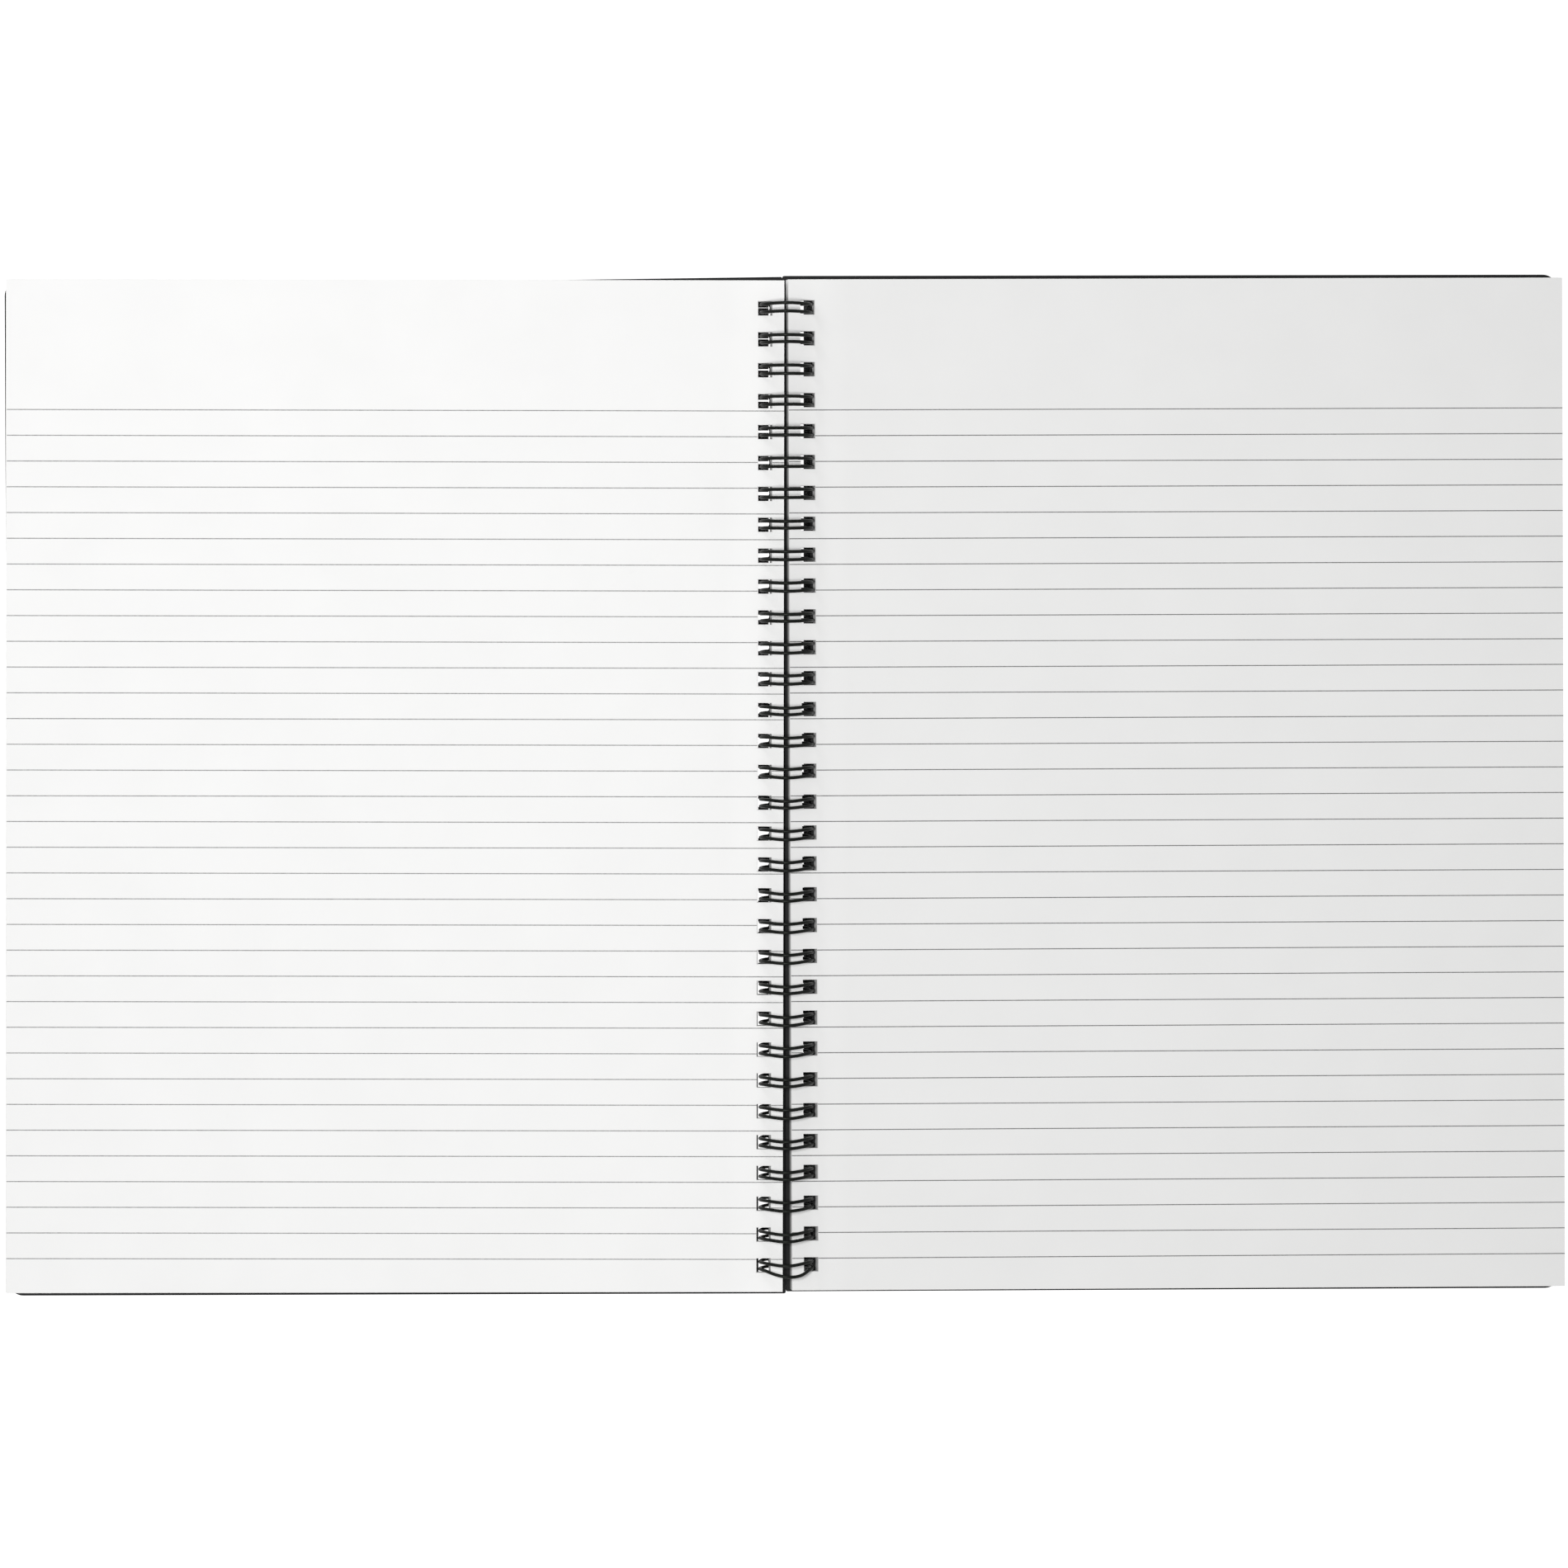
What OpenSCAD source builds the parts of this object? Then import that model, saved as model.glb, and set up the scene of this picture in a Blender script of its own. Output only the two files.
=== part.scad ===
// Open ring-bound notebook, lying face up with the head of the page toward +Y.
// Two punched covers and two stacks of sheets hang on one row of twin wire loops.
// Each half, a cover with its sheets, swings about the centre line of the loops.

/* [Sheets] */
// Width of a sheet, from its spine edge to its fore edge
sheet_w = 212.8; // [120:0.1:260]
// Height of a sheet, along the spine
sheet_h = 277; // [150:0.5:300]
// Thickness of the stack of sheets on each side
stack_t = 4; // [3.6:0.1:4.8]

/* [Covers] */
// Thickness of the cover board
cover_t = 1; // [0.7:0.1:1.6]
// How far a cover reaches past the head and the foot of the sheets
end_lap = 1; // [0.2:0.1:3]
// How far a cover reaches past the fore edge of the top sheet, negative if it stops short
fore_lap = -0.4; // [-1:0.1:3]
// Radius of the corners of the cover
corner_r = 3.8; // [1:0.1:6]
// Gap between the spine edges of the two covers
cover_gap = 0.12; // [0.1:0.01:0.3]

/* [Holes] */
// Distance from one hole to the next
hole_pitch = 8.466; // [7:0.001:10]
// Side of the square hole in the sheets
hole_size = 4; // [3.9:0.1:4.4]
// Width of the hole in the covers, across the spine, whose height is that of the sheets' hole
cover_hole_w = 4.6; // [4:0.1:4.8]
// Least distance from the end of a sheet to the middle of the nearest hole
row_end = 6; // [5:0.1:9]
// Distance of the middle of the row of holes below the middle of the cover
row_drop = 0.55; // [0:0.05:1]
// Distance of the middle of the sheets below the middle of the cover
sheet_drop = 0.2; // [0:0.05:0.5]

/* [Wire] */
// Thickness of the wire
wire_d = 0.9; // [0.7:0.05:1]
// Distance between the two wires of a loop
loop_w = 2.1; // [1.6:0.05:2.2]
// Inside width of the loops for each millimetre of the closed book's thickness
loop_room = 1.31; // [1.3:0.01:1.4]
// How much nearer the spine the top sheet's holes are than the wire that fills them
sheet_pull = 0.85; // [0.75:0.05:0.9]
// How far the wire lies below the middle of its holes
wire_drop = 0.2; // [0:0.05:0.25]

/* [Lie] */
// Turn of the left sheets as they lie, positive to the left
left_sheet_turn = -0.1; // [-0.15:0.01:0]
// Turn of the right sheets as they lie, positive to the left
right_sheet_turn = 0.23; // [0:0.01:0.25]
// Turn of both covers as they lie, positive to the left
cover_turn = 0.2; // [0:0.01:0.22]
// How far both covers lie to the left of the middle
cover_shift = 0.7; // [0:0.05:0.7]
// How far the lowest sheets lean to the left of the top ones, where the wire lets them
sheet_lean = 0.65; // [0.3:0.05:0.65]
// How far the left half has slipped down the spine and the right half up
half_slip = 0.15; // [0:0.05:0.2]

/* [Hidden] */
$fn = 48;

// A cover with its sheets, and the loops that hold two of them
half_t = stack_t + cover_t;
loop_r = loop_room * half_t + wire_d / 2;
// Height of the hinge line, with the loops standing on the table
axis_z = loop_r + wire_d / 2;

// Number of holes in the row, with one loop in each
hole_n = 1 + floor((sheet_h - 2 * row_end) / hole_pitch);

// Distances from the hinge line to the middle of the holes: the cover's lie where the loop
// passes through the board, the top sheet's a little inside the loop
board_far_x = sqrt(pow(loop_r + wire_d / 2, 2) - pow(stack_t, 2));
board_near_x = sqrt(pow(loop_r - wire_d / 2, 2) - pow(half_t, 2));
cover_hole_x = (board_far_x + board_near_x) / 2;
sheet_hole_x = loop_r - sheet_pull;
// The same strip of board or paper lies between the spine edge and every hole
cover_edge_x = cover_gap / 2;
sheet_edge_x = cover_edge_x + sheet_hole_x - cover_hole_x;

cover_w = sheet_edge_x + sheet_w + fore_lap - cover_edge_x;
cover_h = sheet_h + 2 * end_lap;

// The lower sheets of both stacks lean to the left along an arc. The wire stops the lowest
// left ones, at the hole at the end of the row, where the turn of the sheets adds to the lean
wire_clearance = 0.1;
row_h = (hole_n - 1) * hole_pitch + hole_size;
left_hole_x = sheet_hole_x - hole_size / 2 + row_h / 2 * sin(abs(left_sheet_turn));
lean_room = sqrt(pow(loop_r - wire_d / 2 - wire_clearance, 2) - pow(stack_t, 2)) - left_hole_x;
lean_w = min(sheet_lean, lean_room);
lean_r = (pow(stack_t, 2) + pow(lean_w, 2)) / (2 * lean_w);

// Angle by which each half slopes down to rest its fore edge on the table
fore_x = cover_edge_x + cover_w + cover_shift + cover_h / 2 * sin(abs(cover_turn));
rest_tilt = asin(axis_z / norm([fore_x, half_t])) - atan(half_t / fore_x);

// Bends that join one loop to the next at the foot, and the two wires at a loop's tip
foot_r = (hole_pitch - loop_w) / 2;
tip_r = loop_w / 2;
// The tip stops this far round from the foot, just past the hole in the cover
seam_angle = 45;

// How far a cutter runs past the faces that it cuts
over = 1;

function row_y(i) = (i - (hole_n - 1) / 2) * hole_pitch;

// Carries a part from a half's own frame, where X leads away from the hinge line and Z = 0
// is the face of the top sheet, to where the right half lies
module lay_right() {
    translate([0, half_slip, axis_z])
        rotate([0, rest_tilt, 0])
            children();
}

module lay_left() {
    translate([0, -half_slip, axis_z])
        rotate([0, -rest_tilt, 0])
            mirror([1, 0, 0])
                children();
}

// Turns a part about the middle of its row of holes
module turned(hole_x, angle) {
    translate([hole_x, -row_drop, 0])
        rotate([0, 0, angle])
            translate([-hole_x, row_drop, 0])
                children();
}

// Stands an outline drawn in X and Z up along the spine
module along_spine(length) {
    rotate([90, 0, 0])
        linear_extrude(height = length, center = true)
            children();
}

// The arc that the edges of the stacked sheets follow at x, with all that lies left of it
module sheet_edges(x) {
    translate([x - lean_r, 0])
        circle(r = lean_r, $fn = 200);
}

// What lies between two such arcs, in X and Z
module between_edges(x_left, x_right, z_low, z_high) {
    reach = 2 * lean_w + over;
    difference() {
        translate([x_left - reach, z_low])
            square([x_right - x_left + reach, z_high - z_low]);
        sheet_edges(x_left);
        difference() {
            translate([x_right - reach, z_low - over])
                square([reach + over, z_high - z_low + 2 * over]);
            sheet_edges(x_right);
        }
    }
}

// The same in a half's own frame, where the left half's sheets lean away from the spine
module leaning(outward, x_near, x_far, z_low, z_high) {
    if (outward)
        mirror([1, 0])
            between_edges(-x_far, -x_near, z_low, z_high);
    else
        between_edges(x_near, x_far, z_low, z_high);
}

// A stack of sheets with its row of holes
module sheets(angle, outward) {
    turned(sheet_hole_x, angle)
        difference() {
            translate([0, -sheet_drop, 0])
                along_spine(sheet_h)
                    leaning(outward, sheet_edge_x, sheet_edge_x + sheet_w, -stack_t, 0);
            for (i = [0 : hole_n - 1])
                translate([0, row_y(i) - row_drop, 0])
                    along_spine(hole_size)
                        leaning(outward, sheet_hole_x - hole_size / 2,
                                sheet_hole_x + hole_size / 2, -stack_t - over, over);
        }
}

// Outline of a cover: a rectangle with rounded corners
module cover_outline() {
    for (side = [-1, 1], end = [0, 1])
        translate([cover_edge_x + corner_r + end * (cover_w - 2 * corner_r),
                   side * (cover_h / 2 - corner_r)])
            circle(r = corner_r);
    translate([cover_edge_x + corner_r, -cover_h / 2])
        square([cover_w - 2 * corner_r, cover_h]);
    translate([cover_edge_x, corner_r - cover_h / 2])
        square([cover_w, cover_h - 2 * corner_r]);
}

// A cover board with its row of holes, shifted away from the spine
module cover(angle, shift) {
    translate([shift, 0, 0])
        turned(cover_hole_x, angle)
            translate([0, 0, -half_t])
                linear_extrude(height = cover_t)
                    difference() {
                        cover_outline();
                        for (i = [0 : hole_n - 1])
                            translate([cover_hole_x, row_y(i) - row_drop])
                                square([cover_hole_w, hole_size], center = true);
                    }
}

// A stretch of wire bent round a circle. The wire's section is turned by roll, so that the
// stretches of one wire meet point for point
module bent_wire(bend_r, from, sweep, roll = 0) {
    rotate_extrude(angle = sweep, start = from)
        translate([bend_r, 0])
            rotate([0, 0, roll])
                circle(d = wire_d, $fn = 16);
}

// One loop: two wires side by side from the foot, right round to the tip that joins them
module wire_loop() {
    turn = 360 - seam_angle;
    rotate([90, 0, 0]) {
        for (side = [-1, 1])
            translate([0, 0, side * tip_r])
                bent_wire(loop_r, -90, turn);
        rotate([0, 0, turn - 90])
            translate([loop_r, 0, 0])
                rotate([0, 90, 0])
                    bent_wire(tip_r, 0, 180, 90);
    }
}

// The bend at the foot that leads from one loop to the next
module foot_bend() {
    translate([0, hole_pitch / 2, -loop_r])
        bent_wire(foot_r, 90, 180, -90);
}

module front_cover() {
    color([0.11, 0.11, 0.11])
        lay_left()
            cover(-cover_turn, cover_shift);
}

module left_pages() {
    color([0.95, 0.95, 0.94])
        lay_left()
            sheets(-left_sheet_turn, true);
}

module twin_loop_wire() {
    color([0.06, 0.06, 0.06])
        translate([0, -row_drop - wire_drop, axis_z])
            for (i = [0 : hole_n - 1])
                translate([0, row_y(i), 0]) {
                    wire_loop();
                    if (i < hole_n - 1)
                        foot_bend();
                }
}

module right_pages() {
    color([0.92, 0.92, 0.91])
        lay_right()
            sheets(right_sheet_turn, false);
}

module back_cover() {
    color([0.11, 0.11, 0.11])
        lay_right()
            cover(cover_turn, -cover_shift);
}

front_cover();
left_pages();
twin_loop_wire();
right_pages();
back_cover();
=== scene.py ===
"""An open wire-bound notebook: two covers, two stacks of ruled sheets and a twin-loop wire."""

import math
import random

import bmesh
import bpy
from bpy.props import FloatProperty, FloatVectorProperty, IntProperty, PointerProperty
from bpy.types import Operator, Panel, PropertyGroup
from mathutils import Matrix, Vector


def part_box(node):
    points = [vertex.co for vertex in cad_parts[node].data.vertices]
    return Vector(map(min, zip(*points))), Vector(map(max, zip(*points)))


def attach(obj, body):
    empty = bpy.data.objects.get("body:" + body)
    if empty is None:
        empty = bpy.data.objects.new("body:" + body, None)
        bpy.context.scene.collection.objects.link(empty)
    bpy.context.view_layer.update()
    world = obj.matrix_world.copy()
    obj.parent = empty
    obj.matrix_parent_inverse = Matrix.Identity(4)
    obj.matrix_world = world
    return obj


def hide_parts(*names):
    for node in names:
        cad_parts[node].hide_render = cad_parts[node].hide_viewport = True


bl_info = {
    "name": "Wire-bound notebook",
    "version": (1, 0, 0),
    "blender": (4, 5, 0),
    "location": "3D View > Sidebar > Notebook",
    "description": "Models an open wire-bound notebook with ruled sheets and black covers",
    "category": "Add Mesh",
}

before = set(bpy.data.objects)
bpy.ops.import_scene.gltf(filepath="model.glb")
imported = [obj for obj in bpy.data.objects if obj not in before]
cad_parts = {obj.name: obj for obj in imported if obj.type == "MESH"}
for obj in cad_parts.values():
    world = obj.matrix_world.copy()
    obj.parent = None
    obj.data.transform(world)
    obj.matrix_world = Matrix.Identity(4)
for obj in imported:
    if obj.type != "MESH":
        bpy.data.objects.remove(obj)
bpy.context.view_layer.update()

MM = 0.001

# The frame gives the loops' size, and the hinge line runs through their middle
wire_low, wire_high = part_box("twin_loop_wire")
HINGE_Z = (wire_low.z + wire_high.z) / 2
LOOP_OUTSIDE = (wire_high.x - wire_low.x) / 2
WIRE_MIDDLE_Y = (wire_low.y + wire_high.y) / 2

# The two halves: their side of the hinge, the body they ride on and the nodes they stand for
LEFT, RIGHT = -1, 1
HALVES = {
    LEFT: {"body": "front_half", "pages": "left_pages", "cover": "front_cover", "name": "left"},
    RIGHT: {"body": "back_half", "pages": "right_pages", "cover": "back_cover", "name": "right"},
}


class NotebookSheets(PropertyGroup):
    width: FloatProperty(
        name="Width",
        description="Width of a sheet, from its spine edge to its fore edge",
        default=212.8 * MM,
        min=0.1,
        unit="LENGTH",
    )
    height: FloatProperty(
        name="Height",
        description="Height of a sheet, along the spine",
        default=277 * MM,
        min=0.1,
        unit="LENGTH",
    )
    spine_gap: FloatProperty(
        name="Spine gap",
        description="Distance from the hinge line to the spine edge of the top sheet",
        default=0.952 * MM,
        unit="LENGTH",
    )
    count: IntProperty(
        name="Sheets in a stack",
        description="Number of sheets in the stack on each side",
        default=40,
        min=2,
    )
    stack: FloatProperty(
        name="Stack thickness",
        description="Thickness of the stack of sheets on each side",
        default=4 * MM,
        unit="LENGTH",
    )
    paper: FloatProperty(
        name="Paper thickness",
        description="Thickness of one sheet, with a little air left between the sheets",
        default=0.088 * MM,
        unit="LENGTH",
    )
    lean: FloatProperty(
        name="Lean",
        description="How far the lowest sheets lean to the left of the top ones",
        default=0.65 * MM,
        unit="LENGTH",
    )
    drop: FloatProperty(
        name="Drop",
        description="Distance of the middle of the sheets below the middle of the covers",
        default=0.2 * MM,
        unit="LENGTH",
    )
    left_foot: FloatVectorProperty(
        name="Left foot edge",
        description="How much lower the left sheets' foot edge lies, at the spine and at the"
        " fore edge",
        default=(0.3 * MM, 0.85 * MM),
        size=2,
        unit="LENGTH",
    )
    right_foot: FloatVectorProperty(
        name="Right foot edge",
        description="How much lower the right sheets' foot edge lies, at the spine and at the"
        " fore edge",
        default=(0.15 * MM, 0.35 * MM),
        size=2,
        unit="LENGTH",
    )
    left_turn: FloatProperty(
        name="Left turn",
        description="Turn of the left sheets as they lie",
        default=math.radians(-0.1),
        subtype="ANGLE",
    )
    right_turn: FloatProperty(
        name="Right turn",
        description="Turn of the right sheets as they lie",
        default=math.radians(0.23),
        subtype="ANGLE",
    )
    line_count: IntProperty(
        name="Ruled lines",
        description="Number of lines on a page",
        default=34,
        min=1,
    )
    line_pitch: FloatProperty(
        name="Line pitch",
        description="Distance from one ruled line to the next",
        default=7.05 * MM,
        unit="LENGTH",
    )
    line_width: FloatProperty(
        name="Line width",
        description="Width of a ruled line",
        default=0.26 * MM,
        unit="LENGTH",
    )
    head_margin: FloatProperty(
        name="Head margin",
        description="Distance from the head of a page to its first line",
        default=35.75 * MM,
        unit="LENGTH",
    )


class NotebookHoles(PropertyGroup):
    count: IntProperty(
        name="Holes",
        description="Number of holes in the row",
        default=32,
        min=2,
    )
    pitch: FloatProperty(
        name="Hole pitch",
        description="Distance from one hole to the next",
        default=8.466 * MM,
        unit="LENGTH",
    )
    size: FloatProperty(
        name="Hole size",
        description="Side of the square hole in the sheets",
        default=4 * MM,
        unit="LENGTH",
    )
    cover_width: FloatProperty(
        name="Cover hole width",
        description="Width of the holes in the covers, across the spine",
        default=4.6 * MM,
        unit="LENGTH",
    )
    cover_height: FloatProperty(
        name="Cover hole height",
        description="Height of the holes in the covers, along the spine",
        default=4.3 * MM,
        unit="LENGTH",
    )
    sheet_x: FloatProperty(
        name="Sheet hole distance",
        description="Distance from the hinge line to the middle of the top sheet's holes",
        default=6.15 * MM,
        unit="LENGTH",
    )
    cover_x: FloatProperty(
        name="Cover hole distance",
        description="Distance from the hinge line to the middle of a centred cover's holes",
        default=5.258 * MM,
        unit="LENGTH",
    )
    drop: FloatProperty(
        name="Row drop",
        description="Distance of the middle of the row of holes below the middle of the covers",
        default=0.55 * MM,
        unit="LENGTH",
    )


class NotebookCovers(PropertyGroup):
    width: FloatProperty(
        name="Cover width",
        description="Width of a cover",
        default=213.292 * MM,
        unit="LENGTH",
    )
    height: FloatProperty(
        name="Cover height",
        description="Height of a cover",
        default=279 * MM,
        unit="LENGTH",
    )
    board: FloatProperty(
        name="Board thickness",
        description="Thickness of the cover board",
        default=1 * MM,
        unit="LENGTH",
    )
    corner: FloatProperty(
        name="Corner radius",
        description="Radius of the corners of a cover at its fore edge",
        default=3.8 * MM,
        unit="LENGTH",
    )
    spine_corner: FloatProperty(
        name="Spine corner radius",
        description="Radius of the corners of a cover beside the spine",
        default=0.5 * MM,
        unit="LENGTH",
    )
    front_trim: FloatProperty(
        name="Front cover's trim",
        description="How much lower the head edge of the front cover lies, away from the spine",
        default=0.75 * MM,
        unit="LENGTH",
    )
    foot_drop: FloatVectorProperty(
        name="Foot drop",
        description="How much lower the front cover's foot edge lies, at the spine and at the fore"
        " edge, and the back cover's the other way round",
        default=(0.3 * MM, 0.0),
        size=2,
        unit="LENGTH",
    )
    trim_reach: FloatProperty(
        name="Trim reach",
        description="Distance from the spine at which the front cover's trim is full",
        default=70 * MM,
        unit="LENGTH",
    )
    edge: FloatProperty(
        name="Edge radius",
        description="Radius of the worn edges of the board",
        default=0.12 * MM,
        unit="LENGTH",
    )
    gap: FloatProperty(
        name="Cover gap",
        description="Gap between the spine edges of the two covers",
        default=0.12 * MM,
        unit="LENGTH",
    )
    shift: FloatProperty(
        name="Shift",
        description="How far both covers lie to the left of the middle",
        default=0.7 * MM,
        unit="LENGTH",
    )
    turn: FloatProperty(
        name="Turn",
        description="Turn of both covers as they lie",
        default=math.radians(0.2),
        subtype="ANGLE",
    )
    slip: FloatProperty(
        name="Slip",
        description="How far the left half has slipped down the spine and the right half up",
        default=0.15 * MM,
        unit="LENGTH",
    )


class NotebookWire(PropertyGroup):
    thickness: FloatProperty(
        name="Wire thickness",
        description="Thickness of the wire",
        default=0.9 * MM,
        unit="LENGTH",
    )
    wide_loop: FloatProperty(
        name="Wide loop",
        description="Distance between the two wires of most loops, at the crown",
        default=2.25 * MM,
        unit="LENGTH",
    )
    narrow_loop: FloatProperty(
        name="Narrow loop",
        description="Distance between the two wires of about every third loop, at the crown",
        default=1.85 * MM,
        unit="LENGTH",
    )
    foot_loop: FloatProperty(
        name="Loop at the foot",
        description="Distance between the two wires of every loop, at the foot",
        default=2.1 * MM,
        unit="LENGTH",
    )
    lift: FloatProperty(
        name="Lift at the foot",
        description="How far the loop at the foot has been pushed toward the head of the page",
        default=0.12 * MM,
        unit="LENGTH",
    )
    head_lean: FloatProperty(
        name="Crown lean at the head",
        description="How far the crown of the first loop leans toward the head of the page",
        default=0.17 * MM,
        unit="LENGTH",
    )
    foot_lean: FloatProperty(
        name="Crown lean at the foot",
        description="How far the crown of the last loop leans toward the foot of the page",
        default=0.6 * MM,
        unit="LENGTH",
    )
    foot_slope: FloatProperty(
        name="Climb at the foot",
        description="How far the last loop's right side climbs toward the head, for each unit that"
        " it lies from the hinge line",
        default=0.042,
    )
    sag: FloatProperty(
        name="Foot of the loops",
        description="How far the lowest points of the loops lie toward the head of the page",
        default=0.5 * MM,
        unit="LENGTH",
    )
    head_reach: FloatProperty(
        name="Reach at the head",
        description="How far the first loop reaches past its circle on the left",
        default=0.05 * MM,
        unit="LENGTH",
    )
    foot_reach: FloatProperty(
        name="Reach at the foot",
        description="How far the last loop reaches past its circle on the left",
        default=0.45 * MM,
        unit="LENGTH",
    )
    head_tuck: FloatProperty(
        name="Tuck at the head",
        description="How far the first loops stop short of their circle on the right",
        default=0.38 * MM,
        unit="LENGTH",
    )
    bulge: FloatProperty(
        name="Last wire's bulge",
        description="How far the very last wire is bent outward at the crown",
        default=1.2 * MM,
        unit="LENGTH",
    )
    seam: FloatProperty(
        name="Seam angle",
        description="Angle from the foot of a loop to its tip",
        default=math.radians(45),
        subtype="ANGLE",
    )


class NotebookColours(PropertyGroup):
    left_paper: FloatVectorProperty(
        name="Left paper",
        description="Colour of the sheets on the left",
        default=(0.93, 0.93, 0.925),
        subtype="COLOR",
    )
    # Painted shade: the sheets on the right are the same paper as those on the left, and their
    # colour is darker to stand for the shade that lay on the right page
    right_paper: FloatVectorProperty(
        name="Right paper",
        description="Colour of the sheets on the right",
        default=(0.85, 0.85, 0.845),
        subtype="COLOR",
    )
    left_ink: FloatVectorProperty(
        name="Left ruling",
        description="Colour of the ruled lines on the left",
        default=(0.32, 0.32, 0.32),
        subtype="COLOR",
    )
    right_ink: FloatVectorProperty(
        name="Right ruling",
        description="Colour of the ruled lines on the right",
        default=(0.19, 0.19, 0.19),
        subtype="COLOR",
    )
    board: FloatVectorProperty(
        name="Cover board",
        description="Colour of the black board",
        default=(0.007, 0.007, 0.0075),
        subtype="COLOR",
    )
    wire: FloatVectorProperty(
        name="Wire",
        description="Colour of the enamel on the wire",
        default=(0.005, 0.0055, 0.005),
        subtype="COLOR",
    )


class NotebookStage(PropertyGroup):
    camera_height: FloatProperty(
        name="Camera height",
        description="Height of the camera above the pages",
        default=2.1,
        unit="LENGTH",
    )
    view_width: FloatProperty(
        name="View width",
        description="Width of the view at the pages",
        default=429.9 * MM,
        unit="LENGTH",
    )
    view_x: FloatProperty(
        name="View centre X",
        description="Where the middle of the view falls on the pages, along X",
        default=-0.8 * MM,
        unit="LENGTH",
    )
    view_y: FloatProperty(
        name="View centre Y",
        description="Where the middle of the view falls on the pages, along Y",
        default=0.2 * MM,
        unit="LENGTH",
    )
    lean_left: FloatProperty(
        name="Lean to the left",
        description="How far the view leans to the left of straight down",
        default=math.radians(1.2),
        subtype="ANGLE",
    )
    lean_up: FloatProperty(
        name="Lean to the head",
        description="How far the view leans toward the head of the pages",
        default=math.radians(0.7),
        subtype="ANGLE",
    )


GROUPS = {
    "notebook_sheets": NotebookSheets,
    "notebook_holes": NotebookHoles,
    "notebook_covers": NotebookCovers,
    "notebook_wire": NotebookWire,
    "notebook_colours": NotebookColours,
    "notebook_stage": NotebookStage,
}


# Materials


def new_material(name, colour, roughness):
    """A material with a plain Principled shader, with its node tree and that shader."""
    material = bpy.data.materials.new(name)
    material.use_nodes = True
    shader = material.node_tree.nodes["Principled BSDF"]
    shader.inputs["Base Color"].default_value = (*colour, 1)
    shader.inputs["Roughness"].default_value = roughness
    return material, material.node_tree, shader


def grain(tree, scale, detail):
    """Noise in the object's own coordinates, with scale in features to the metre."""
    place = tree.nodes.new("ShaderNodeTexCoord")
    noise = tree.nodes.new("ShaderNodeTexNoise")
    noise.inputs["Scale"].default_value = scale
    noise.inputs["Detail"].default_value = detail
    tree.links.new(place.outputs["Object"], noise.inputs["Vector"])
    return noise.outputs["Fac"]


def ramp(tree, value, low, high, low_colour, high_colour):
    """A blend from one colour to another as value goes from low to high."""
    node = tree.nodes.new("ShaderNodeValToRGB")
    node.color_ramp.elements[0].position = low
    node.color_ramp.elements[0].color = (*low_colour, 1)
    node.color_ramp.elements[1].position = high
    node.color_ramp.elements[1].color = (*high_colour, 1)
    tree.links.new(value, node.inputs["Fac"])
    return node.outputs["Color"]


def changed(tree, operation, value, number):
    """One value worked out from another and a fixed number."""
    node = tree.nodes.new("ShaderNodeMath")
    node.operation = operation
    node.inputs[1].default_value = number
    tree.links.new(value, node.inputs[0])
    return node.outputs["Value"]


def below(tree, value, limit):
    """1 where value lies below the limit."""
    return changed(tree, "LESS_THAN", value, limit)


def between(tree, value, start, end):
    """1 where value lies from start to end."""
    return combined(tree, "SUBTRACT", below(tree, value, end), below(tree, value, start))


def mapped(tree, value, start, end, first=0.0, last=1.0):
    """Goes from first to last as value goes from start to end, and no further."""
    node = tree.nodes.new("ShaderNodeMapRange")
    node.inputs["From Min"].default_value = start
    node.inputs["From Max"].default_value = end
    node.inputs["To Min"].default_value = first
    node.inputs["To Max"].default_value = last
    tree.links.new(value, node.inputs["Value"])
    return node.outputs["Result"]


def combined(tree, operation, one, other):
    """One value worked out from two others."""
    node = tree.nodes.new("ShaderNodeMath")
    node.operation = operation
    tree.links.new(one, node.inputs[0])
    tree.links.new(other, node.inputs[1])
    return node.outputs["Value"]


def bump(tree, shader, height, depth, strength):
    """Roughens the surface by a height pattern, with depth in metres."""
    node = tree.nodes.new("ShaderNodeBump")
    node.inputs["Strength"].default_value = strength
    node.inputs["Distance"].default_value = depth
    tree.links.new(height, node.inputs["Height"])
    tree.links.new(node.outputs["Normal"], shader.inputs["Normal"])


def shade(colour, factor):
    """The same colour, lighter or darker."""
    return tuple(min(1.0, part * factor) for part in colour)


def scaled(tree, colour, factor):
    """A colour made darker by a factor from 0 to 1."""
    node = tree.nodes.new("ShaderNodeVectorMath")
    node.operation = "SCALE"
    tree.links.new(colour, node.inputs[0])
    tree.links.new(factor, node.inputs["Scale"])
    return node.outputs["Vector"]


# Paper beside the loops is painted lighter by this, to undo the shade that the loops cast on the
# page, and the two distances where that painted light begins to fade and is gone
LOOPS_PAINTED_LIGHT = 1.05
LOOPS_PAINTED_LIGHT_FADE = (8 * MM, 17 * MM)

# Least light on the stack in the depth of the gutter, in its holes and at the head of the
# spine. Two steps lie at distances from the spine, and one rise at heights along it
DEEP_LIGHT = 0.04
HOLE_LIGHT = 0.45
HEAD_LIGHT = 0.9
GUTTER_STEP = (2.4 * MM, 2.6 * MM)
HOLES_STEP = (9.4 * MM, 9.6 * MM)
HEAD_RISE = (125 * MM, 138 * MM)


def painted_light_by_the_loops(tree):
    """1 on the page, and a little more beside the loops: painted light that undoes the shade the
    loops cast.
    """
    return mapped(tree, distance_from_spine(tree), *LOOPS_PAINTED_LIGHT_FADE, LOOPS_PAINTED_LIGHT, 1.0)


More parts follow.
